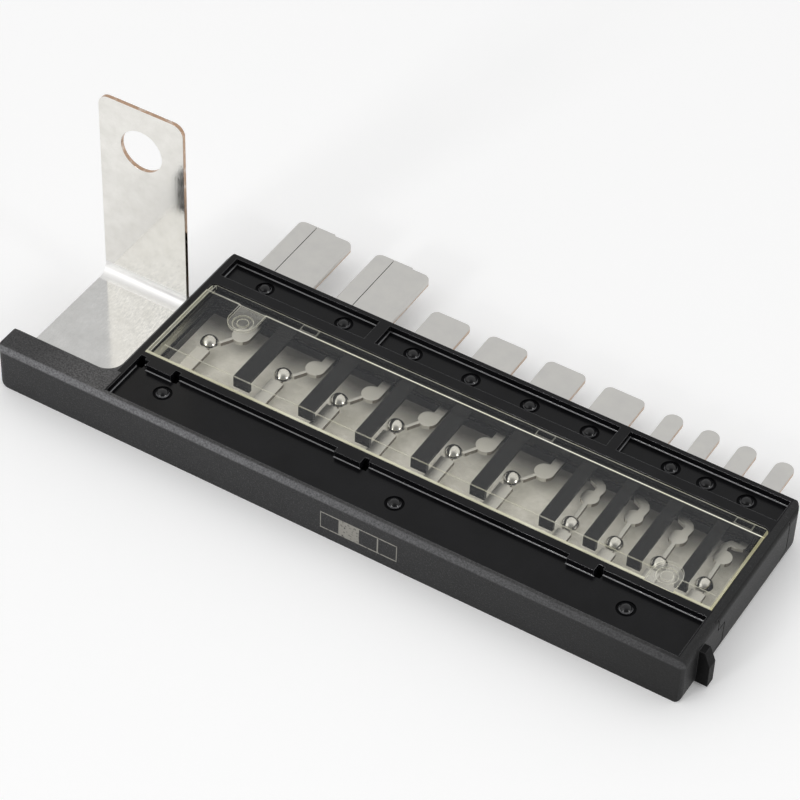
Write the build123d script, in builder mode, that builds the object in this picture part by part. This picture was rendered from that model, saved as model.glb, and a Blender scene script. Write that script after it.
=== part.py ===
"""Multi-pole fuse block: one stamped busbar with ten fusible links, clamped in a staked two-part
housing under clear covers. Millimetres, X along the block, blades towards +Y, bolt tab upwards."""
import os
from math import atan2, degrees, hypot

from build123d import *

os.makedirs("parts", exist_ok=True)

# Sheet metal
sheet = 0.6
sheet_sink = 3.3

# Clearances
slide_gap = 0.1
roof_gap = 0.05
pin_clearance = 0.1
cover_gap = 0.08

# Housing outside
rim_height = 7.2
bar_depth = 4.85
keel_height = 0.9
front_block = 9.2
front_bevel = 0.55
back_bevel = 0.5
end_round = 1.0
left_bevel = 0.45
notch_radius = 2.5
corner_front = 1.2
corner_left = 1.8
corner_right = 2.4
corner_small = 0.8
bar_end_radius = 1.8
wall_front = 1.25
wall_right = 1.1
wall_left = 1.0
wall_back = 1.25
bar_wall = 1.3

# Bolt tab and plate
tab_inset = 0.17
tab_width = 14.0
tab_wall_gap = 0.98
tab_face = 24.24
tab_top = 36.5
tab_corner = 1.7
tab_hole = 6.8
tab_hole_drop = 7.2
bend_radius = 1.55
plate_cut = 4.14

# Spacing of the fusible elements
first_element = 5.85
first_pitch = 12.35
wide_pitch = 9.22
narrow_step = 10.77
narrow_pitch = 6.7
last_element = 5.6

# Fusible elements
strip_width = 2.1
waist_width = 1.0
waist_reach = 1.45
link_rise = 0.85
pellet_radius = 1.34
pellet_height = 1.0
pellet_core = 0.9
pellet_gap = 0.5
wide_reach = 6.25
wide_pad_shift = 3.05
wide_pad_rise = 3.7
wide_pad_radius = 1.45
wide_link = 0.45
wide_neck = 1.4
narrow_reach = 3.2
narrow_pad_shift = -0.15
narrow_pad_rise = 5.8
narrow_pad_radius = 1.3
narrow_link = 0.6
narrow_arm = 1.25
last_arm = 1.0
narrow_bends = ((0.45, 0.9), (0.55, 2.1), (0.25, 2.7), (-0.35, 3.05), (-1.1, 3.4), (-1.2, 4.1))
last_bends = ((-0.38, 0.3), (-0.71, 1.96), (-0.15, 2.85), (0.65, 2.84), (1.35, 3.1))
arm_end = 1.0

# Blades
large_width = 9.5
large_lead = 3.1
large_lag = 2.2
large_reach = 13.6
large_tip_radius = 1.3
large_seam = 3.0
medium_width = 6.3
medium_lag = 1.63
medium_creep = 0.18
small_width = 2.8
small_lag = 1.08
small_creep = 1.02
short_reach = 8.2
tip_radius = 1.0
round_tip = 0.48
fold_inset = 1.1
fold_radius = 0.45
root_inset = 0.2
root_margin = 0.25
root_width = 4.4
root_shift = 1.05
seam_width = 0.12
tip_step_start = 3.1
tip_step = 0.25

# Window, cover recess and pockets from front to back
panel_front = 1.25
cover_step = 1.25
ledge_front = 0.45
rib_inset = 3.3
bus_inset = 2.7
bus_end_gap = 1.1
window_depth = 16.2
ledge_back = 0.5
bay_step = 1.8
bay_depth = 4.2
back_rim = 1.2
pin_inset = 1.95

# Pockets in the top
pocket_drop = 1.05
pocket_fillet = 0.18
pocket_rim = 1.4
lug_depth = 0.85
lug_before = 2.78
lug_after = 1.3
pit_width = 0.95
pit_back = 0.5
pit_drop = 0.9
bay_gap = 1.75
bay_lead = 1.25

# Cover and window
cover_thickness = 1.0
cover_corner = 0.9
window_start = 1.8
window_end = 3.65
ledge_side = 0.45

# Ribs, each from one element back towards the one before
rib_edges = ((4.55, 1.95), (3.07, 0.67), (3.09, 0.79), (3.41, 0.91), (3.33, 1.03),
             (3.4, 1.3), (3.4, 1.5), (3.5, 1.5), (3.1, 1.3))
rib_drop = 0.3
rib_foot = 0.6

# Stakes
pin_radius = 0.7
dome_radius = 1.02
dome_drop = 0.2
sink_radius = 1.38
sink_depth = 0.18
blade_pin_shift = 0.2
small_pin_shifts = (0.54, 0.26, 0.68)
front_pin_shifts = ((0, 1.7, 5.85), (4, -0.6, 5.35), (8, 0.9, 5.65))

# Latch wedge on the right end
wedge_reach = 1.8
wedge_front = 4.15
wedge_width = 1.55
wedge_foot = 0.5
wedge_drop = 0.8
wedge_shoulder = 4.2
wedge_top_reach = 0.9
groove = 0.25
latch_jog = 1.8

# Bottom cover
bottom_cover_thickness = 0.8
bottom_lip = 0.3

# Top cover details
strip_depth = 1.75
strip_drop = 0.22
skirt_thickness = 0.5
skirt_depth = 1.1
skirt_back_gap = 0.6
plate_relief = 0.12
relief_margin = 0.3
gate_radius = 2.15
gate_depth = 0.45
gate_ring = 1.5
gate_ring_depth = 0.2
gate_nub = 0.85
gate_inset = 2.65
gate_after = 3.45
gate_before = 3.8
clip_shifts = ((1, 0.05), (5, 1.2), (9, 0.6))
clip_length = 2.6
clip_inset = 0.25

# Levels
sheet_top = rim_height - sheet_sink
sheet_bottom = sheet_top - sheet
floor_top = sheet_bottom - roof_gap
roof = sheet_top + roof_gap
pocket_floor = rim_height - pocket_drop
pin_seat = pocket_floor - sink_depth
ledge_height = rim_height - cover_thickness
rib_top = ledge_height - rib_drop
rib_bottom = sheet_top + pellet_height + pellet_gap

# Element, blade and rib places along X
tab_left = bar_wall + tab_inset
notch_x = tab_left + tab_width + tab_wall_gap
wide_first = notch_x + first_element
wide_elements = [wide_first] + [wide_first + first_pitch + wide_pitch * k for k in range(5)]
narrow_first = wide_elements[-1] + narrow_step
narrow_elements = [narrow_first + narrow_pitch * k for k in range(4)]
elements = wide_elements + narrow_elements
body_length = narrow_elements[-1] + last_element
large_lefts = [wide_elements[0] - large_lead, wide_elements[1] - large_lag]
medium_lefts = [x + medium_lag + medium_creep * k for k, x in enumerate(wide_elements[2:])]
small_lefts = [x + small_lag - small_creep * k for k, x in enumerate(narrow_elements)]
ribs = [(x - start, x - stop) for x, (start, stop) in zip(elements[1:], rib_edges)]
window_left = notch_x + window_start
window_right = narrow_elements[-1] + window_end
cover_left = window_left - ledge_side
cover_right = window_right + ledge_side
pocket_left = notch_x + pocket_rim
pocket_right = cover_right - slide_gap
cavity_left = notch_x + wall_left
cavity_right = body_length - wall_right
bus_right = cavity_right - bus_end_gap
lugs = [(x - lug_before, x + lug_after) for x in (elements[0], elements[3], elements[7])]
bays = ((pocket_left, large_lefts[1] + large_width),
        (large_lefts[1] + large_width + bay_gap, medium_lefts[-1] + medium_width + bay_gap / 3),
        (small_lefts[0] - bay_lead, pocket_right))

# Places along Y
cover_front = front_block + cover_step
window_front = cover_front + ledge_front
rib_front = window_front + rib_inset
bus_front = wall_front + root_margin + slide_gap
bus_back = window_front + bus_inset
window_back = window_front + window_depth
cover_back = window_back + ledge_back
bay_front = cover_back + bay_step
bay_back = bay_front + bay_depth
body_depth = bay_back + back_rim
cavity_back = body_depth - wall_back
large_tip = body_depth + large_reach
short_tip = body_depth + short_reach
fold_start = body_depth - fold_inset
root_front = window_back + root_inset
root_back = cavity_back - root_margin
back_pin_y = bay_front + pin_inset
plate_slot_back = tab_face - plate_cut
wide_y = bus_back + wide_reach
wide_pad_y = wide_y + wide_pad_rise
narrow_y = bus_back + narrow_reach
narrow_pad_y = narrow_y + narrow_pad_rise
places = [(x, wide_y) for x in wide_elements] + [(x, narrow_y) for x in narrow_elements]
blades = ([(x, large_width, large_tip, True) for x in large_lefts]
          + [(x, medium_width, short_tip, False) for x in medium_lefts]
          + [(x, small_width, short_tip, False) for x in small_lefts])
pins = ([(x + large_width / 2 + blade_pin_shift, back_pin_y) for x in large_lefts]
        + [(x + medium_width / 2 + blade_pin_shift, back_pin_y) for x in medium_lefts]
        + [(x + shift, back_pin_y) for x, shift in zip(small_lefts[1:], small_pin_shifts)]
        + [(elements[k] + shift, y) for k, shift, y in front_pin_shifts])

# Frame at the bottom centre of the whole block
overall_length = body_length + wedge_reach
base = Plane(origin=(-overall_length / 2, -large_tip / 2, 0))
side = Plane(origin=base.origin, x_dir=(0, 1, 0), z_dir=(1, 0, 0))
front = Plane(origin=base.origin, x_dir=(1, 0, 0), z_dir=(0, -1, 0))


def block(x, y, z, mode=Mode.ADD):
    """Box between two limits along each axis."""
    with Locations(((x[0] + x[1]) / 2, (y[0] + y[1]) / 2, (z[0] + z[1]) / 2)):
        Box(x[1] - x[0], y[1] - y[0], z[1] - z[0], mode=mode)


def area(x, y, mode=Mode.ADD):
    """Rectangle between two limits along each sketch axis."""
    with Locations(((x[0] + x[1]) / 2, (y[0] + y[1]) / 2)):
        Rectangle(x[1] - x[0], y[1] - y[0], mode=mode)


def stroke(points, width):
    """Round-ended band of one width along a chain of points."""
    for a, b in zip(points[:-1], points[1:]):
        with Locations(((a[0] + b[0]) / 2, (a[1] + b[1]) / 2)):
            SlotCenterToCenter(hypot(b[0] - a[0], b[1] - a[1]), width,
                               rotation=degrees(atan2(b[1] - a[1], b[0] - a[0])))


def shorten(first, last, amount):
    """Limits moved in at both ends by one amount."""
    return (first + amount, last - amount)


def soften(sketch, point, radius):
    """Rounds the corner of a sketch nearest to a point."""
    fillet(sketch.vertices().sort_by_distance(point)[0], radius)


# Front panel pocket with the lugs left standing
with BuildPart() as panel_pocket:
    with BuildSketch(Plane.XY.offset(pocket_floor)):
        area((pocket_left, pocket_right), (panel_front, front_block))
        for left, right in lugs:
            area((left, right), (front_block - lug_depth, front_block), Mode.SUBTRACT)
    extrude(amount=rim_height)
    fillet(panel_pocket.faces().sort_by(Axis.Z)[0].edges(), pocket_fillet)

# Pockets along the back ledge
with BuildPart() as bay_pockets:
    for left, right in bays:
        block((left, right), (bay_front, bay_back), (pocket_floor, 2 * rim_height))
    fillet(bay_pockets.edges().group_by(Axis.Z)[0], pocket_fillet)

# Upper housing
with BuildPart(base) as upper_housing:
    with BuildSketch(base) as outline:
        area((0, body_length), (0, bar_depth))
        area((notch_x, body_length), (0, body_depth))
        soften(outline, (notch_x, bar_depth), notch_radius)
    extrude(amount=rim_height)
    left_rim = [e for e in upper_housing.edges().group_by(Axis.Z)[-1]
                if base.to_local_coords(e.center()).X < notch_x + 0.1
                and base.to_local_coords(e.center()).Y > bar_depth - 0.1]
    chamfer(left_rim, left_bevel)
    with BuildSketch(side):
        with BuildLine():
            Polyline((0, 0), (0, rim_height - front_bevel), (front_bevel, rim_height),
                     (body_depth - back_bevel, rim_height), (body_depth, rim_height - back_bevel),
                     (body_depth, keel_height), (front_block, keel_height), (front_block, 0), close=True)
        make_face()
    extrude(amount=body_length, mode=Mode.INTERSECT)
    with BuildSketch(front) as elevation:
        area((0, body_length), (0, rim_height))
        soften(elevation, (0, 0), bar_end_radius)
        soften(elevation, (body_length, 0), end_round)
        soften(elevation, (body_length, rim_height), end_round)
    extrude(amount=-body_depth, mode=Mode.INTERSECT)
    with BuildSketch(base) as plan:
        area((0, body_length), (0, body_depth))
        area((0, notch_x), (bar_depth, body_depth), Mode.SUBTRACT)
        area((notch_x - notch_radius, notch_x), (bar_depth, bar_depth + notch_radius))
        soften(plan, (0, 0), corner_front)
        soften(plan, (0, bar_depth), corner_small)
        soften(plan, (notch_x, body_depth), corner_left)
        soften(plan, (body_length, body_depth), corner_right)
        soften(plan, (body_length, 0), corner_small)
    extrude(amount=rim_height, mode=Mode.INTERSECT)
    # Latch wedge
    with BuildSketch(front.offset(-wedge_front)):
        with BuildLine():
            Polyline((body_length - wall_right / 2, wedge_foot), (body_length + wedge_reach, wedge_foot),
                     (body_length + wedge_reach, wedge_shoulder),
                     (body_length + wedge_top_reach, rim_height - wedge_drop),
                     (body_length - wall_right / 2, rim_height - wedge_drop), close=True)
        make_face()
    extrude(amount=-wedge_width)
    # Underside cavity, bar hollow and slots for the sheet
    block((cavity_left, cavity_right), (wall_front, cavity_back), (-rim_height, roof), Mode.SUBTRACT)
    block((bar_wall, cavity_left), (wall_front, plate_slot_back + slide_gap), (-rim_height, roof),
          Mode.SUBTRACT)
    for left, width, tip, folded in blades:
        top = roof + sheet if folded else roof
        block((left - slide_gap, left + width + slide_gap), (cavity_back - slide_gap, tip),
              (-rim_height, top), Mode.SUBTRACT)
    # Pockets, pits and cover recess
    add(panel_pocket.part, mode=Mode.SUBTRACT)
    add(bay_pockets.part, mode=Mode.SUBTRACT)
    for left in [pocket_left] + [right for _, right in lugs]:
        block((left, left + pit_width), (front_block - lug_depth, front_block + pit_back),
              (pocket_floor - pit_drop, 2 * rim_height), Mode.SUBTRACT)
    with BuildSketch(base.offset(ledge_height)) as recess:
        area((cover_left, cover_right), (cover_front, cover_back))
        soften(recess, (cover_left, cover_back), cover_corner)
        soften(recess, (cover_right, cover_back), cover_corner)
    extrude(amount=rim_height, mode=Mode.SUBTRACT)
    # Window crossed by the ribs
    block((window_left, window_right), (window_front, window_back), (keel_height, 2 * rim_height),
          Mode.SUBTRACT)
    for left, right in ribs:
        block((left, right), (rib_front, window_back + wall_back), (rib_bottom, rib_top))
        block((left, right), (rib_front, rib_front + rib_foot), (roof, rib_top))
    # Stake holes
    with Locations(*[(x, y, 0) for x, y in pins]):
        Cylinder(pin_radius + pin_clearance, 2 * rim_height, mode=Mode.SUBTRACT)
    with Locations(*[(x, y, pin_seat) for x, y in pins]):
        Cylinder(sink_radius, rim_height, align=(Align.CENTER, Align.CENTER, Align.MIN),
                 mode=Mode.SUBTRACT)
    # Shallow relief lines of the latch panel on the right end
    latch_front = cover_front - cover_step / 2
    latch_back = bay_front + pin_inset / 2
    latch_foot = keel_height + groove
    latch_step = sheet_top + cover_thickness
    front_line = ((latch_front, rim_height), (latch_front, latch_step), (latch_front + latch_jog, latch_step),
                  (latch_front + latch_jog, latch_foot + groove), (front_block, latch_foot))
    back_line = ((latch_back, rim_height), (latch_back, 2 * keel_height), (latch_back - latch_jog, latch_foot))
    for line in (front_line, back_line):
        for (y0, z0), (y1, z1) in zip(line[:-1], line[1:]):
            with BuildSketch(side.offset(body_length - groove)):
                with Locations(((y0 + y1) / 2, (z0 + z1) / 2)):
                    Rectangle(hypot(y1 - y0, z1 - z0) + groove, groove,
                              rotation=degrees(atan2(z1 - z0, y1 - y0)))
            extrude(amount=rim_height, mode=Mode.SUBTRACT)

upper_housing.part.label = "upper_housing"
export_step(upper_housing.part, "parts/upper_housing.step")

# Folded double blade, both flaps turned over the sheet and meeting at a seam
with BuildPart() as folded_blade:
    with BuildSketch(Plane.XZ.offset(-fold_start)):
        with Locations((large_width / 2, sheet_top)):
            RectangleRounded(large_width, 2 * sheet, fold_radius)
        area((large_seam - seam_width / 2, large_seam + seam_width / 2), (sheet_top, sheet_top + sheet),
             Mode.SUBTRACT)
    extrude(amount=fold_start - large_tip)
    with BuildSketch(Plane.XY) as blade_plan:
        area((0, large_width), (0, large_tip))
        area((large_seam + tip_step_start, large_width), (large_tip - tip_step, large_tip), Mode.SUBTRACT)
        soften(blade_plan, (0, large_tip), large_tip_radius)
        soften(blade_plan, (large_width, large_tip), large_tip_radius)
    extrude(amount=2 * rim_height, mode=Mode.INTERSECT)

# Busbar: plate with the bolt tab, bus strip, ten fusible elements and ten blades in one sheet
with BuildPart(base) as busbar:
    with BuildSketch(side.offset(tab_left)) as bend:
        area((bus_front, tab_face + sheet), (sheet_bottom, sheet_top))
        area((tab_face, tab_face + sheet), (sheet_bottom, tab_top))
        soften(bend, (tab_face + sheet, sheet_bottom), bend_radius + sheet)
        soften(bend, (tab_face, sheet_top), bend_radius)
    extrude(amount=tab_width)
    fillet(busbar.edges().filter_by(Axis.Y).group_by(Axis.Z)[-1], tab_corner)
    with BuildSketch(front.offset(-tab_face + sheet)):
        with Locations((tab_left + tab_width / 2, tab_top - tab_hole_drop)):
            Circle(tab_hole / 2)
    extrude(amount=-3 * sheet, mode=Mode.SUBTRACT)
    with BuildSketch(base.offset(sheet_bottom)) as stamping:
        area((tab_left + tab_width / 2, cavity_left + slide_gap), (bus_front, plate_slot_back))
        area((notch_x, bus_right), (bus_front, bus_back))
        # Strips narrowing to a waist inside each pellet
        for x, y in places:
            area((x - strip_width / 2, x + strip_width / 2), (bus_front, y - waist_reach))
            stroke(((x, y - waist_reach), (x, y)), waist_width)
        # Wide cells: slanting link, round pad and neck
        for x in wide_elements:
            pad_x = x + wide_pad_shift
            neck_x = pad_x + wide_pad_radius - wide_neck / 2
            stroke(((x, wide_y), (x + pellet_radius, wide_y + link_rise), (pad_x, wide_pad_y)), wide_link)
            with Locations((pad_x, wide_pad_y)):
                Circle(wide_pad_radius)
            area((neck_x - wide_neck / 2, neck_x + wide_neck / 2), (wide_pad_y, root_front + root_margin))
        # Narrow cells: straight link, round pad and serpentine arm
        for k, x in enumerate(narrow_elements):
            pad_x = x + narrow_pad_shift
            stroke(((x, narrow_y), (pad_x, narrow_pad_y)), narrow_link)
            with Locations((pad_x, narrow_pad_y)):
                Circle(narrow_pad_radius)
            bends = narrow_bends if x < narrow_elements[-1] else last_bends
            path = [(pad_x + dx, narrow_pad_y + dy) for dx, dy in bends]
            path.append((small_lefts[k] + root_shift - root_width / 4 if x < narrow_elements[-1] else path[-1][0],
                         root_front + arm_end))
            stroke(path, narrow_arm if x < narrow_elements[-1] else last_arm)
        # Roots and plain blades
        for left, width, tip, folded in blades:
            area((left, left + width), (root_front, fold_start if folded else tip - tip_radius))
            if not folded:
                area((left, left + width), (tip - 2 * width, tip))
        for left in small_lefts:
            centre = left + root_shift
            area((centre - root_width / 2, centre + root_width / 2), (root_front, root_back))
        for left, width, tip, folded in blades:
            if not folded:
                radius = tip_radius if width > 4 * tip_radius else round_tip * width
                soften(stamping, (left, tip), radius)
                soften(stamping, (left + width, tip), radius)
        with Locations(*pins):
            Circle(pin_radius + pin_clearance, mode=Mode.SUBTRACT)
    extrude(amount=sheet)
    for left in large_lefts:
        with Locations((left, 0, 0)):
            add(folded_blade.part)
busbar.part.label = "busbar"
export_step(busbar.part, "parts/busbar.step")

# Tin pellets, domed over the sheet and crimped round the waists
dome = (pellet_radius ** 2 + pellet_height ** 2) / (2 * pellet_height)
for number, (x, y) in enumerate(places, 1):
    with BuildPart() as tin_pellet:
        with Locations(base.from_local_coords(Vector(x, y, sheet_top + pellet_height - dome))):
            Sphere(dome)
        with Locations((0, 0, sheet_top)):
            Box(2 * overall_length, 2 * large_tip, 2 * dome, align=(Align.CENTER, Align.CENTER, Align.MAX),
                mode=Mode.SUBTRACT)
        with Locations(base.from_local_coords(Vector(x, y, sheet_bottom))):
            Cylinder(pellet_core, sheet, align=(Align.CENTER, Align.CENTER, Align.MIN))
        add(busbar.part, mode=Mode.SUBTRACT)
    tin_pellet.part.label = f"tin_pellet_{number:02d}"
    export_step(tin_pellet.part, f"parts/tin_pellet_{number:02d}.step")

# Domed head of a stake
with BuildPart() as stake_head:
    with Locations((0, 0, pin_seat - dome_drop)):
        Sphere(dome_radius)
    block((-dome_radius, dome_radius), (-dome_radius, dome_radius), (0, pin_seat), Mode.SUBTRACT)

# Lower housing with the stakes
with BuildPart(base) as lower_housing:
    inside_x = shorten(cavity_left, cavity_right, slide_gap)
    inside_y = shorten(wall_front, cavity_back, slide_gap)
    block(inside_x, (inside_y[0], front_block), (0, floor_top))
    block(inside_x, inside_y, (keel_height, floor_top))
    block((bar_wall + slide_gap, inside_x[0]), (inside_y[0], bar_depth), (0, floor_top))
    block((notch_x, inside_x[0]), (bar_depth, front_block), (0, floor_top))
    block((notch_x, inside_x[0]), (bar_depth, plate_slot_back), (keel_height, floor_top))
    for left, width, tip, folded in blades:
        block((left, left + width), (inside_y[1], body_depth), (keel_height, floor_top))
    block((window_left, window_right), (window_front, window_back), (-rim_height, rim_height), Mode.SUBTRACT)
    block((window_left - bottom_lip, window_right + bottom_lip),
          (window_front - bottom_lip, window_back + bottom_lip),
          (-rim_height, keel_height + bottom_cover_thickness + roof_gap), Mode.SUBTRACT)
    with Locations(*[(x, y, keel_height) for x, y in pins]):
        Cylinder(pin_radius, pin_seat - keel_height, align=(Align.CENTER, Align.CENTER, Align.MIN))
    with Locations(*[(x, y, 0) for x, y in pins]):
        add(stake_head.part)
lower_housing.part.label = "lower_housing"
export_step(lower_housing.part, "parts/lower_housing.step")

# Bottom cover under the cells
with BuildPart(base) as bottom_cover:
    block(shorten(window_left - bottom_lip, window_right + bottom_lip, cover_gap),
          shorten(window_front - bottom_lip, window_back + bottom_lip, cover_gap),
          (keel_height, keel_height + bottom_cover_thickness))
bottom_cover.part.label = "bottom_cover"
export_step(bottom_cover.part, "parts/bottom_cover.step")

# Clear top cover with skirt, moulded gates and clip pads
with BuildPart(base) as top_cover:
    plate_x = shorten(cover_left, cover_right, cover_gap)
    plate_y = shorten(cover_front, cover_back, cover_gap)
    skirt_x = shorten(window_left, window_right, cover_gap)
    with BuildSketch(base.offset(ledge_height)) as plate:
        area(plate_x, plate_y)
        soften(plate, (plate_x[0], plate_y[1]), cover_corner - cover_gap)
        soften(plate, (plate_x[1], plate_y[1]), cover_corner - cover_gap)
    extrude(amount=cover_thickness)
    strip_front = cover_back - strip_depth
    block(plate_x, (strip_front, plate_y[1] + 1), (rim_height - strip_drop, 2 * rim_height), Mode.SUBTRACT)
    for x in [elements[k] + shift for k, shift in clip_shifts]:
        block((x - clip_length / 2, x + clip_length / 2), (strip_front + clip_inset, plate_y[1] - clip_inset),
              (ledge_height, rim_height))
    skirt_front = window_front + cover_gap
    for limits in (skirt_x, shorten(*skirt_x, skirt_thickness)):
        outer = limits == skirt_x
        block(limits, (skirt_front if outer else skirt_front + skirt_thickness, window_back - skirt_back_gap),
              (ledge_height - skirt_depth, ledge_height), Mode.ADD if outer else Mode.SUBTRACT)
    block(shorten(*skirt_x, skirt_thickness), (rib_front - relief_margin, window_back - skirt_back_gap),
          (ledge_height - skirt_depth, ledge_height + plate_relief), Mode.SUBTRACT)
    for x, y, edge in ((elements[0] + gate_after, strip_front - gate_inset, strip_front),
                       (elements[-1] - gate_before, plate_y[0] + gate_inset, plate_y[0])):
        with BuildSketch(base.offset(rim_height - gate_depth)):
            with Locations((x, y)):
                Circle(gate_radius)
            area((x - gate_radius, x + gate_radius), (min(y, edge), max(y, edge)))
        extrude(amount=rim_height, mode=Mode.SUBTRACT)
        with BuildSketch(base.offset(rim_height - gate_depth - gate_ring_depth)):
            with Locations((x, y)):
                Circle(gate_ring)
                Circle(gate_nub, mode=Mode.SUBTRACT)
        extrude(amount=gate_ring_depth, mode=Mode.SUBTRACT)
top_cover.part.label = "top_cover"
export_step(top_cover.part, "parts/top_cover.step")
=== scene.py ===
"""Looks of the fuse block: materials, floor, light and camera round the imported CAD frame."""
from math import radians

import bpy
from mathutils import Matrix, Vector


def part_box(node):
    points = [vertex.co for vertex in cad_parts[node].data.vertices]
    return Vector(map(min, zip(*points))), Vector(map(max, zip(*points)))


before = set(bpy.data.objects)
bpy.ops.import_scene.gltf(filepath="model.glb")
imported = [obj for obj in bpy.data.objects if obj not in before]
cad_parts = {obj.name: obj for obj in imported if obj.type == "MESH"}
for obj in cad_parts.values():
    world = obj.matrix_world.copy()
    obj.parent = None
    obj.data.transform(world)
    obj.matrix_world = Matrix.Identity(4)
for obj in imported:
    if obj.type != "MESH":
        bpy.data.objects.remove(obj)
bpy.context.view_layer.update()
MM = 0.001

# The housing's front left corner in the row frame, in mm; every place below is counted from it
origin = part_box("upper_housing")[0] / MM


class Reach:
    """How far a CAD node reaches, in mm from the housing's front left corner."""

    def __init__(self, node):
        low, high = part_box(node)
        self.left, self.front, self.bottom = low / MM - origin
        self.right, self.back, self.top = high / MM - origin


block = Reach("upper_housing")
cover = Reach("top_cover")
busbar = Reach("busbar")

# Places on the housing, those in pairs from one limit to the other
rim_top = block.top
panel_front = 1.2
bar_back = 5.2
window_left = cover.left - 0.28
window_right = cover.right + 0.18
cover_front = cover.front - 1.03
cover_back = cover.back + 0.18
body_end = block.right - 1.74
end_grooves = body_end - 0.46, body_end - 0.13
groove_height = 1.2, 7.1
groove_front = 9.0
pocket_fillet = rim_top - 1.07, rim_top - 0.89
bevel_height = rim_top - 0.54, rim_top - 0.01
bevel_depth = 0.02, 0.54
printed_boxes = 53.45, 65.43
printed_height = 1.7, 4.7

# Where the housing's painted sheen, painted shade and painted bevel highlight change along its length
top_sheen_patch = 13.0, 17.0
top_sheen_end = 104.0
front_shade = 60.0, 105.0
end_shade = 92.0, 107.0
bevel_highlight_fade = 25.0, 95.0

# Places on the busbar
sheet_top = busbar.bottom + 0.6
tab_right = 16.6
tab_start = 8.0
tab_bend = 22.6, 24.3
bend_height = 3.98, 5.7
upright_start = 5.2, 6.2
scuffs_start = 28.0, 42.0       # X and Y added up
cells_left = 17.0
cells_depth = 10.0, 28.0
cells_shadow = 26.6, 28.4
folded_blades = cells_left, 47.0
fold_start = 33.0
blade_height = 5.0

# Places on the cover and the lower window
plate_low = cover.top - 1.1
plate_high = cover.top - 0.3
well_floor = cover.top - 0.7
left_gate = (23.4, 28.1), (20.8, 25.75)
right_gate = (96.2, 101.0), (10.8, 15.6)
clip_pads = 26.0, 27.45
relief_crease = 13.75, 14.05
ridge_fade = 17.0, 45.0
wall_fade = 21.0, 11.5
window_back_shade = 23.3, 27.6

# Two limits of a noise, between which its patches turn from one tone into the other
SOFT, CLEAR, CRISP = (0.3, 0.7), (0.35, 0.65), (0.4, 0.6)

# Facing values above this mean that a surface looks along the axis
SQUARE_ON = 0.9

# Floor and studio
FLOOR_REACH = 3.0
FLOOR_GLOW = 0.13
WORLD_STRENGTH = 0.86
CAMERA_SIDE = (0.45, -0.65, 0.61)

# Name, place in m, width and height in m, and power in W of each lamp
LAMPS = (
    ("left_softbox", (-0.40, -0.68, 0.62), (0.72, 0.72), 0.95),
    ("front_key", (-0.24, -0.92, 0.38), (0.14, 0.14), 1.2),
    ("right_softbox", (0.88, -0.10, 0.34), (0.2, 0.24), 1.2),
)

# Camera fitted to the straight edges of the block in the photograph
CAMERA_PLACE = (202.66, -241.41, 302.84)
CAMERA_ANGLES = (45.66361, -1.73478, 31.39678)
FOCAL_LENGTH = 138.81
SENSOR_WIDTH = 36.0


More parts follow.
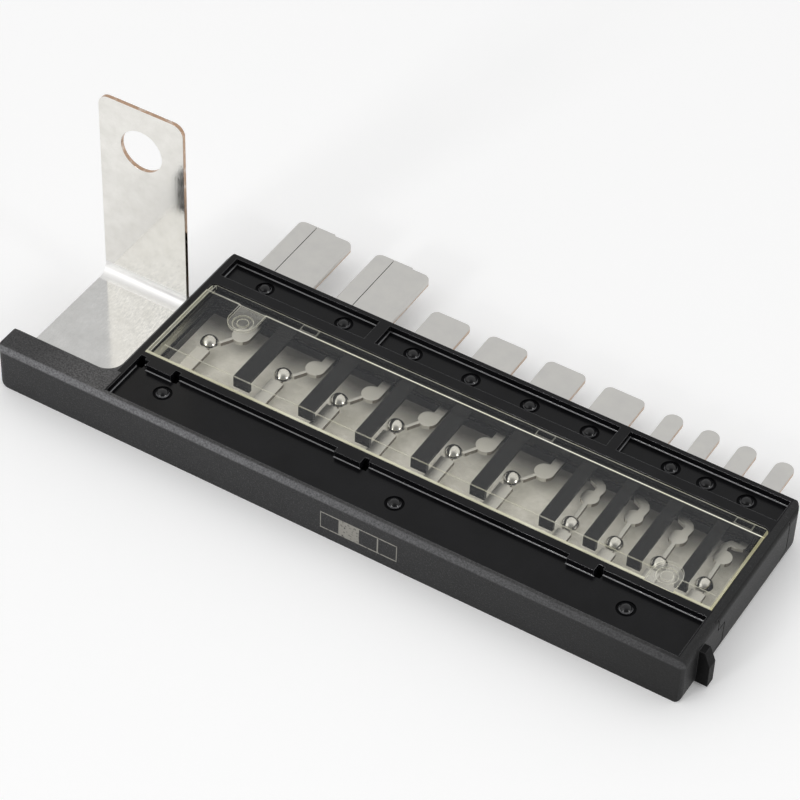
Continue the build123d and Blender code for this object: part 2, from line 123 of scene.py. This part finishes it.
class Nodes:
    """Short hand for the node tree of one material or world."""

    def __init__(self, owner, output="ShaderNodeOutputMaterial"):
        owner.use_nodes = True
        self.owner = owner
        self.tree = owner.node_tree
        self.tree.nodes.clear()
        self.output = self.new(output)

    def new(self, kind, **settings):
        node = self.tree.nodes.new(kind)
        for key, value in settings.items():
            setattr(node, key, value)
        return node

    def link(self, source, target):
        self.tree.links.new(source, target)

    def put(self, socket, value):
        if isinstance(value, bpy.types.NodeSocket):
            self.link(value, socket)
        else:
            socket.default_value = value

    def finish(self, surface):
        """Links the last shader to the output and returns the material or world."""
        self.link(surface, self.output.inputs["Surface"])
        return self.owner

    def math(self, operation, a, b=0.0, clamp=False):
        node = self.new("ShaderNodeMath", operation=operation, use_clamp=clamp)
        self.put(node.inputs[0], a)
        self.put(node.inputs[1], b)
        return node.outputs[0]

    def above(self, value, limit):
        return self.math("GREATER_THAN", value, limit)

    def below(self, value, limit):
        return self.math("LESS_THAN", value, limit)

    def every(self, mask, *others):
        """Masks multiplied, so that what is left lies in all of them."""
        for other in others:
            mask = self.math("MULTIPLY", mask, other)
        return mask

    def either(self, mask, *others):
        """The largest of some masks, which lies in any of them."""
        for other in others:
            mask = self.math("MAXIMUM", mask, other)
        return mask

    def without(self, mask, taken):
        """A mask less another one, and never below nothing."""
        return self.math("SUBTRACT", mask, taken, clamp=True)

    def mix(self, factor, a, b, kind="RGBA"):
        node = self.new("ShaderNodeMix", data_type=kind)
        self.put(node.inputs["Factor"], factor)
        self.put(node.inputs["A"], a)
        self.put(node.inputs["B"], b)
        return node.outputs["Result"]

    def blend(self, factor, a, b):
        """The same as mix for plain numbers."""
        return self.mix(factor, a, b, "FLOAT")

    def layer(self, factor, under, over):
        """One shader over another."""
        node = self.new("ShaderNodeMixShader")
        for socket, value in zip(node.inputs, (factor, under, over)):
            self.link(value, socket)
        return node.outputs[0]

    def vector(self):
        return self.new("ShaderNodeTexCoord").outputs["Object"]

    def place(self, vector):
        """X, Y and Z on the surface, in mm from the housing's front left corner."""
        split = self.new("ShaderNodeSeparateXYZ")
        self.link(vector, split.inputs[0])
        places = []
        for value, start in zip(split.outputs, origin):
            node = self.new("ShaderNodeMath", operation="MULTIPLY_ADD")
            self.link(value, node.inputs[0])
            node.inputs[1].default_value = 1.0 / MM
            node.inputs[2].default_value = -start
            places.append(node.outputs[0])
        return places

    def facing(self, signed=False):
        """How far the surface looks along X, Y and Z, up to one, and below nothing only if signed."""
        split = self.new("ShaderNodeSeparateXYZ")
        self.link(self.new("ShaderNodeNewGeometry").outputs["Normal"], split.inputs[0])
        if signed:
            return list(split.outputs)
        return [self.math("ABSOLUTE", value) for value in split.outputs]

    def ramp(self, value, low, high):
        """Nothing at the first limit, one at the second."""
        node = self.new("ShaderNodeMapRange", clamp=True)
        self.link(value, node.inputs["Value"])
        node.inputs["From Min"].default_value = low
        node.inputs["From Max"].default_value = high
        return node.outputs[0]

    def between(self, value, low, high, soft=0.1):
        """One between two limits, falling to nothing over a soft edge."""
        return self.every(self.ramp(value, low - soft, low), self.ramp(value, high + soft, high))

    def within(self, x, y, area):
        """One over a rectangle that is given by its limits in X and in Y."""
        across, along = area
        return self.every(self.between(x, *across), self.between(y, *along))

    def noise(self, vector, scale, detail=3.0, rough=0.55, stretch=None):
        if stretch:
            mapping = self.new("ShaderNodeMapping")
            self.link(vector, mapping.inputs["Vector"])
            mapping.inputs["Scale"].default_value = stretch
            vector = mapping.outputs[0]
        node = self.new("ShaderNodeTexNoise")
        self.link(vector, node.inputs["Vector"])
        node.inputs["Scale"].default_value = scale
        node.inputs["Detail"].default_value = detail
        node.inputs["Roughness"].default_value = rough
        return node.outputs[0]

    def mottled(self, noise, limits, dark, light):
        """Two tones laid out by a noise."""
        return self.mix(self.ramp(noise, *limits), dark, light)

    def varied(self, noise, limits, low, high):
        """A number that a noise moves between two ends."""
        return self.blend(self.ramp(noise, *limits), low, high)

    def bump(self, height, strength, distance, normal=None):
        node = self.new("ShaderNodeBump")
        self.put(node.inputs["Strength"], strength)
        node.inputs["Distance"].default_value = distance
        self.link(height, node.inputs["Height"])
        if normal is not None:
            self.link(normal, node.inputs["Normal"])
        return node.outputs[0]

    def rounded(self, radius):
        node = self.new("ShaderNodeBevel", samples=4)
        node.inputs["Radius"].default_value = radius
        return node.outputs[0]

    def edge(self, radius, low, high):
        """One on the rim of a sharp edge, nothing on the flats."""
        geometry = self.new("ShaderNodeNewGeometry")
        dot = self.new("ShaderNodeVectorMath", operation="DOT_PRODUCT")
        self.link(geometry.outputs["Normal"], dot.inputs[0])
        self.link(self.rounded(radius), dot.inputs[1])
        return self.ramp(self.math("SUBTRACT", 1.0, dot.outputs["Value"]), low, high)

    def shader(self, **values):
        node = self.new("ShaderNodeBsdfPrincipled")
        for key, value in values.items():
            self.put(node.inputs[key.replace("_", " ")], value)
        return node


def material(name):
    """Nodes of a new, empty material."""
    return Nodes(bpy.data.materials.new(name))


def box_row(n, vector, x, y, z):
    """A worn printed row of four boxes on the front face, of which the second is filled."""
    count, filled, line, soft = 4, 1, 0.2, 0.03
    left, right = printed_boxes
    low, high = printed_height
    pitch = (right - left) / count
    row = n.every(n.between(x, left, right, soft), n.between(z, low, high, soft))
    hollow = n.every(n.between(z, low + line, high - line, soft), row)
    for k in range(count):
        if k != filled:
            start = left + k * pitch
            gap = n.between(x, start + line * 0.6, start + pitch - line * 0.6, soft)
            row = n.math("SUBTRACT", row, n.every(gap, hollow))
    row = n.math("MULTIPLY", row, n.below(y, 0.05), clamp=True)
    return n.every(row, n.ramp(n.noise(vector, 3000.0, 2.0, 0.5), 0.25, 0.45))


def housing(name, dome=0.0):
    """Black moulded plastic: spark texture on the bar and the right end, smooth elsewhere.

    The dome value, up to one, gives the smooth parts the gloss of the heat-formed stakes.
    """
    n = material(name)
    vector = n.vector()
    x, y, z = n.place(vector)
    facing_y, facing_z = n.facing()[1:]
    inside = n.every(n.between(x, window_left, window_right), n.above(y, panel_front))
    behind = n.every(n.above(x, window_left - 0.7), n.above(y, bar_back), n.below(x, window_right))
    smooth = n.either(inside, behind)
    grain = n.noise(vector, 4200.0, 2.0, 0.6)
    cloud = n.noise(vector, 160.0, 4.0, 0.6)
    speck = n.ramp(n.noise(vector, 5200.0, 1.0, 0.5), 0.56, 0.74)

    # Spark texture, with a painted sheen on the top faces that is strongest near the tab, and painted shade
    # on the front face towards the right and on the right end
    matte = n.mottled(cloud, CLEAR, (0.014, 0.014, 0.0145, 1), (0.020, 0.020, 0.021, 1))
    matte = n.mottled(grain, (0.35, 0.7), matte, (0.032, 0.032, 0.033, 1))
    matte = n.mix(speck, matte, (0.060, 0.060, 0.062, 1))
    # Painted sheen: the top faces lighter, most near the tab
    top_sheen = n.blend(n.between(x, *top_sheen_patch, 8.0), n.every(n.below(x, top_sheen_end), 0.25), 0.8)
    sheen = n.mottled(grain, (0.36, 0.64), (0.045, 0.044, 0.044, 1), (0.14, 0.137, 0.137, 1))
    matte = n.mix(n.every(n.ramp(facing_z, 0.6, 0.9), top_sheen), matte, sheen)
    # Painted shade: the front face darker towards the right, and everything darker towards the right end
    shade = n.every(n.above(facing_y, SQUARE_ON), n.ramp(x, *front_shade), 0.66)
    matte = n.mix(shade, matte, (0.006, 0.006, 0.006, 1))
    matte = n.mix(n.every(n.ramp(x, *end_shade), 0.55), matte, (0.003, 0.003, 0.003, 1))

    # Print, a darker latch, painted shade in the grooves of the right end and a painted highlight on the
    # front bevel
    matte = n.mix(box_row(n, vector, x, y, z), matte, (0.30, 0.29, 0.26, 1))
    latch = n.above(x, body_end)
    matte = n.mix(n.every(latch, 0.75), matte, (0.004, 0.004, 0.004, 1))
    # Painted shade in the grooves of the right end
    groove_shade = n.every(n.between(x, *end_grooves, 0.02), n.between(z, *groove_height), n.above(y, groove_front))
    matte = n.mix(groove_shade, matte, (0.003, 0.003, 0.003, 1))
    # Painted highlight on the front bevel, fading towards the right
    bevel_highlight = n.every(n.between(z, *bevel_height, 0.3), n.between(y, *bevel_depth, 0.25))
    bevel_highlight = n.every(bevel_highlight, n.blend(n.ramp(x, *bevel_highlight_fade), 0.85, 0.2), n.varied(grain, SOFT, 0.3, 1.0))
    matte = n.mix(bevel_highlight, matte, (0.26, 0.26, 0.27, 1))

    # Painted highlights on the edges, and on the fillet round the pocket floors
    gloss = n.mottled(cloud, SOFT, (0.003, 0.003, 0.0035, 1), (0.007, 0.007, 0.008, 1))
    edge_highlight_zone = n.either(n.above(z, rim_top - 0.8), n.without(0.6, smooth))
    edge_highlight = n.every(n.edge(0.16 * MM, 0.01, 0.2), n.varied(cloud, SOFT, 0.3, 0.8), edge_highlight_zone)
    # Painted highlight along the fillet at the foot of the pocket walls
    fillet = n.every(n.between(z, *pocket_fillet, 0.02), n.between(facing_z, 0.25, 0.96, 0.02), smooth)
    edge_highlight = n.either(edge_highlight, fillet)
    color = n.mix(edge_highlight, n.mix(smooth, matte, gloss), (0.13, 0.13, 0.135, 1))

    # Roughness and relief
    rough = n.blend(smooth, n.varied(grain, SOFT, 0.42, 0.58), n.blend(cloud, 0.14, 0.3))
    rough = n.blend(n.every(edge_highlight, smooth), rough, 0.16)
    rough = n.blend(n.every(smooth, dome), rough, 0.1)
    flat = n.new("ShaderNodeNewGeometry").outputs["Normal"]
    sunken = n.without(smooth, n.above(z, rim_top - 0.98))
    relief = n.mix(sunken, n.rounded(0.14 * MM), flat)
    normal = n.bump(grain, n.blend(smooth, 0.7, 0.05), 0.06 * MM, relief)
    shader = n.shader(Base_Color=color, Roughness=rough, Normal=normal, IOR=1.5)

    # Specular level: low in the sunk rings round the stakes and on the latch
    shine = n.either(n.blend(smooth, 0.28, 0.17 + 0.4 * dome), n.every(edge_highlight, 0.9))
    uncovered = n.either(n.below(y, cover_front), n.above(y, cover_back))
    sunk_ring = n.every(n.below(z, rim_top - 1.1), uncovered, smooth)
    shine = n.blend(sunk_ring, shine, 0.17 * dome + 0.02)
    n.link(n.blend(latch, shine, 0.08), shader.inputs["Specular IOR Level"])
    return n.finish(shader.outputs[0])


def tinned_sheet():
    """Tin plate with fine scratches, and bare copper where the sheet is cut."""
    n = material("tin_plate")
    vector = n.vector()
    x, y, z = n.place(vector)
    facing_x, facing_y, facing_z = n.facing()
    mottle = n.noise(vector, 420.0, 5.0, 0.62)
    fine = n.noise(vector, 2600.0, 3.0, 0.6)
    drawn = n.noise(vector, 1500.0, 3.0, 0.7, (1.0, 0.06, 0.12))
    brushed = n.noise(vector, 3400.0, 6.0, 0.85, (1.0, 0.3, 0.3))

    # Where the sheet is cut: its sides, the tab's outline and the blades' tips, but not the folds
    tab_outline = n.every(n.above(z, tab_start), n.below(facing_y, 0.5))
    tips = n.every(n.above(y, block.back + 0.1), n.below(facing_z, 0.5), n.below(z, blade_height))
    cut = n.either(n.above(facing_x, 0.6), tab_outline, tips)
    folds = n.every(n.between(x, *folded_blades), n.above(y, fold_start), n.above(z, sheet_top + 0.03))
    cut = n.without(cut, folds)
    cells = n.every(n.between(y, *cells_depth), n.above(x, cells_left))
    tab = n.below(x, tab_right)

    # Bare copper, browner on the tab and darker in the cells
    copper = n.mottled(fine, SOFT, (0.50, 0.37, 0.28, 1), (0.62, 0.49, 0.39, 1))
    copper = n.mix(cells, copper, (0.24, 0.215, 0.185, 1))
    brown = n.mottled(fine, SOFT, (0.40, 0.25, 0.16, 1), (0.56, 0.37, 0.25, 1))
    copper = n.mix(n.every(n.above(z, tab_start), 0.75), copper, brown)

    # Tin: worn on the flat plate of the tab, with painted sheen on the upright part, painted lighter in the
    # cells and with painted highlights on its edges there
    tin = n.mottled(mottle, SOFT, (0.58, 0.57, 0.55, 1), (0.63, 0.62, 0.59, 1))
    worn = n.mottled(mottle, SOFT, (0.57, 0.565, 0.55, 1), (0.66, 0.655, 0.64, 1))
    marks = n.mottled(brushed, (0.38, 0.62), (0.43, 0.435, 0.44, 1), (0.78, 0.775, 0.76, 1))
    scuffs = n.ramp(n.math("ADD", n.math("ADD", x, y), n.every(mottle, 14.0)), *scuffs_start)
    worn = n.mix(n.blend(scuffs, 0.12, 0.8), worn, marks)
    # Painted sheen: a lighter copy of the tin on the upright part
    lit_upright = n.mottled(mottle, SOFT, (0.78, 0.765, 0.72, 1), (0.89, 0.875, 0.835, 1))
    worn = n.mix(n.ramp(z, *upright_start), worn, lit_upright)
    tin = n.mix(tab, tin, worn)
    # Painted light: lighter tin in the cells, and painted highlights on the sheet's edges there
    tin = n.mix(cells, tin, (0.72, 0.71, 0.68, 1))
    tin = n.mix(n.every(cells, n.edge(0.12 * MM, 0.01, 0.2)), tin, (0.97, 0.96, 0.92, 1))

    # Both together, with a painted shadow where the links run out of sight under the housing
    patch = n.ramp(n.noise(vector, 900.0, 3.0, 0.6), 0.15, 0.45)
    color = n.mix(n.every(cut, patch), tin, copper)
    shadow = n.every(n.above(x, cells_left), n.between(y, *cells_shadow, 0.9))
    color = n.mix(shadow, color, (0.05, 0.048, 0.045, 1))

    # The bend is matte, and has a painted highlight along it
    bend_highlight = n.every(n.between(z, *bend_height, 0.35), n.between(y, *tab_bend, 0.35), tab)
    rough = n.blend(tab, n.varied(mottle, SOFT, 0.36, 0.42), n.varied(mottle, CLEAR, 0.07, 0.13))
    rough = n.blend(bend_highlight, rough, 0.5)
    color = n.mix(bend_highlight, color, (0.93, 0.925, 0.91, 1))
    height = n.math("ADD", n.every(drawn, 0.6), n.every(fine, 0.4))
    normal = n.bump(height, n.blend(tab, 0.10, 0.16), 0.04 * MM, n.rounded(0.08 * MM))
    shader = n.shader(Base_Color=color, Roughness=rough, Normal=normal, Metallic=1.0)
    return n.finish(shader.outputs[0])


def bright_tin():
    """Cast tin pellet, nearly a mirror."""
    n = material("cast_tin")
    mottle = n.noise(n.vector(), 700.0, 3.0, 0.5)
    color = n.mottled(mottle, CLEAR, (0.76, 0.75, 0.72, 1), (0.88, 0.87, 0.84, 1))
    rough = n.varied(mottle, SOFT, 0.14, 0.24)
    normal = n.bump(mottle, 0.25, 0.08 * MM)
    shader = n.shader(Base_Color=color, Roughness=rough, Normal=normal, Metallic=1.0)
    return n.finish(shader.outputs[0])


def clear(name):
    """Clear moulded cover: see-through flats, with painted pale yellowish bands and painted highlights on the
    edges and gate rings.
    """
    n = material(name)
    vector = n.vector()
    x, y, z = n.place(vector)
    facing_x = n.facing()[0]
    upwards = n.facing(signed=True)[2]
    haze = n.noise(vector, 260.0, 4.0, 0.55)

    # See-through flats with a thin gloss on the plate
    see = n.new("ShaderNodeBsdfTransparent")
    n.link(n.mottled(haze, SOFT, (0.975, 0.97, 0.945, 1), (0.99, 0.985, 0.965, 1)), see.inputs["Color"])
    gloss = n.shader(Base_Color=(0.36, 0.37, 0.39, 1), Roughness=0.12)
    n.link(n.bump(haze, 0.05, 0.06 * MM), gloss.inputs["Normal"])
    glass = n.layer(n.every(n.above(z, plate_low + 0.05), 0.06), see.outputs[0], gloss.outputs[0])

    # Painted pale bands round the plate, standing in for the light the real cover shows in its thickness
    plate = n.above(z, plate_low)
    raised = n.above(z, plate_high)
    front = n.every(n.below(y, cover.front + 0.42), plate)
    right = n.every(n.above(x, cover.right - 0.4), plate)
    left = n.every(n.below(x, cover.left + 0.15), plate)
    second = n.every(n.between(x, cover.left + 0.48, cover.left + 0.6, 0.04), plate)
    outer = n.every(n.between(y, cover.back - 0.1, cover.back + 0.08, 0.03), 0.6)
    ridge = n.either(n.between(y, cover.back - 1.86, cover.back - 1.6, 0.04), outer)
    ridge = n.every(ridge, n.ramp(x, *ridge_fade), raised)
    wall = n.every(n.between(x, cover.left + 0.32, cover.left + 1.07), n.below(z, plate_low + 0.08))
    wall = n.every(wall, n.above(facing_x, SQUARE_ON), n.ramp(y, *wall_fade))

    # Gate wells, cloudy on the bottom
    gate = n.either(n.within(x, y, left_gate), n.within(x, y, right_gate))
    well = n.every(n.between(z, well_floor, well_floor + 0.3), n.every(gate, n.above(upwards, SQUARE_ON)))
    cloudy = n.varied(haze, CRISP, 0.28, 0.42)
    strengths = ((front, 0.8), (right, 0.5), (left, 0.55), (second, 0.35), (ridge, 0.9), (wall, 0.6))
    bands = [n.every(band, strength) for band, strength in strengths]
    rim = n.either(*bands, n.every(well, cloudy))

    # Painted highlights on the sharp edges, strong on the top and the gate rings and weak below
    weight = n.blend(raised, n.blend(n.between(z, well_floor, well_floor + 0.35), 0.05, 0.7), 0.9)
    beside_gate = n.blend(n.between(y, *clip_pads), weight, n.every(weight, 0.45))
    weight = n.blend(gate, beside_gate, n.every(weight, 1.35))
    crease = n.every(n.between(z, plate_low, plate_low + 0.3), n.between(y, *relief_crease), 0.9)
    weight = n.either(weight, crease)
    line = n.every(n.edge(0.16 * MM, 0.01, 0.15), weight)

    # Tones of the painted bands and highlights
    glint = n.mottled(haze, CLEAR, (0.92, 0.90, 0.70, 1), (0.98, 0.97, 0.86, 1))
    amber = n.mottled(haze, CLEAR, (0.55, 0.50, 0.22, 1), (0.70, 0.66, 0.36, 1))
    cream = n.mottled(n.noise(vector, 120.0, 3.0, 0.6), CLEAR, (0.56, 0.53, 0.33, 1), (0.86, 0.84, 0.62, 1))
    tone = n.mix(n.every(front, 0.85), glint, cream)
    tone = n.mix(n.every(right, 0.8), tone, amber)
    tone = n.mix(n.without(well, n.either(line, front)), tone, (0.48, 0.47, 0.42, 1))
    pale = n.shader(Base_Color=tone, Roughness=0.3)

    # The cover casts no hard shadow: a shadow ray passes through its tint alone
    # Painted bands and highlights laid over the see-through flats
    body = n.layer(n.either(rim, line), glass, pale.outputs[0])
    path = n.new("ShaderNodeLightPath")
    return n.finish(n.layer(path.outputs["Is Shadow Ray"], body, see.outputs[0]))


def frosted(name):
    """Pale lower window under the links, cloudy like a moulded back side, with painted shade towards the back
    and a faint painted glow.
    """
    n = material(name)
    vector = n.vector()
    y = n.place(vector)[1]
    cloud = n.noise(vector, 330.0, 5.0, 0.6)
    fine = n.noise(vector, 1400.0, 3.0, 0.6)
    mark = n.math("ADD", n.every(cloud, 0.75), n.every(fine, 0.25))
    color = n.mottled(mark, (0.36, 0.62), (0.74, 0.725, 0.66, 1), (0.99, 0.97, 0.92, 1))
    # Painted shade: darker towards the back of the window
    deep = n.ramp(n.math("ADD", y, n.every(cloud, 3.0)), *window_back_shade)
    color = n.mix(n.every(deep, 0.92), color, (0.09, 0.085, 0.08, 1))
    normal = n.bump(mark, 0.3, 0.1 * MM, n.rounded(0.1 * MM))
    shader = n.shader(Base_Color=color, Roughness=n.varied(fine, SOFT, 0.35, 0.5), Normal=normal)
    shader.inputs["Transmission Weight"].default_value = 0.1
    # Painted glow: the window lights itself a little, though it is no lamp
    n.link(color, shader.inputs["Emission Color"])
    shader.inputs["Emission Strength"].default_value = 0.08
    return n.finish(shader.outputs[0])


def pale_floor():
    """Nearly white floor that also lights itself a little, to the camera and in reflections alone."""
    n = material("pale_floor")
    color = n.mix(n.noise(n.vector(), 8.0), (0.96, 0.96, 0.96, 1), (0.975, 0.975, 0.975, 1))
    shader = n.shader(Base_Color=color, Roughness=0.9)
    path = n.new("ShaderNodeLightPath")
    seen = n.either(path.outputs["Is Camera Ray"], path.outputs["Is Glossy Ray"])
    n.link(n.every(seen, FLOOR_GLOW), shader.inputs["Emission Strength"])
    shader.inputs["Emission Color"].default_value = (1, 1, 1, 1)
    return n.finish(shader.outputs[0])


def studio():
    """Even white light all round, dimmer from the camera's side so that the black gloss stays deep."""
    n = Nodes(bpy.data.worlds.new("studio"), "ShaderNodeOutputWorld")
    dot = n.new("ShaderNodeVectorMath", operation="DOT_PRODUCT")
    dot.inputs[1].default_value = CAMERA_SIDE
    n.link(n.new("ShaderNodeTexCoord").outputs["Generated"], dot.inputs[0])
    background = n.new("ShaderNodeBackground")
    n.link(n.blend(n.ramp(dot.outputs["Value"], 0.62, 0.95), 1.0, 0.25), background.inputs["Color"])
    background.inputs["Strength"].default_value = WORLD_STRENGTH
    return n.finish(background.outputs[0])


def add(name, data):
    """A new object in the scene."""
    thing = bpy.data.objects.new(name, data)
    bpy.context.scene.collection.objects.link(thing)
    return thing


def lamp(name, place, size, power):
    """Soft rectangular light aimed at the middle of the block."""
    data = bpy.data.lights.new(name, "AREA")
    data.shape = "RECTANGLE"
    data.size, data.size_y = size
    data.energy = power
    light = add(name, data)
    light.location = place
    light.rotation_euler = (-Vector(place)).to_track_quat("-Z", "Y").to_euler()


def paint(node, look):
    """Gives a CAD node its material."""
    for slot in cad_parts[node].material_slots:
        slot.material = look


paint("upper_housing", housing("black_housing"))
paint("lower_housing", housing("black_base", 0.6))
paint("busbar", tinned_sheet())
tin = bright_tin()
for k in range(1, 11):
    paint(f"tin_pellet_{k:02d}", tin)
paint("top_cover", clear("clear_cover"))
paint("bottom_cover", frosted("clear_base"))

# Floor
mesh = bpy.data.meshes.new("floor")
sides = ((-1, -1), (1, -1), (1, 1), (-1, 1))
mesh.from_pydata([(x * FLOOR_REACH, y * FLOOR_REACH, 0) for x, y in sides], [], [(0, 1, 2, 3)])
mesh.materials.append(pale_floor())
floor = add("floor", mesh)

# Light
bpy.context.scene.world = studio()
for name, place, size, power in LAMPS:
    lamp(name, place, size, power)

# Camera
data = bpy.data.cameras.new("camera")
data.sensor_width = SENSOR_WIDTH
data.lens = FOCAL_LENGTH
data.clip_start = 0.01
camera = add("camera", data)
camera.location = (Vector(CAMERA_PLACE) + origin) * MM
camera.rotation_euler = [radians(angle) for angle in CAMERA_ANGLES]
bpy.context.scene.camera = camera
bpy.context.scene.view_settings.view_transform = "Standard"
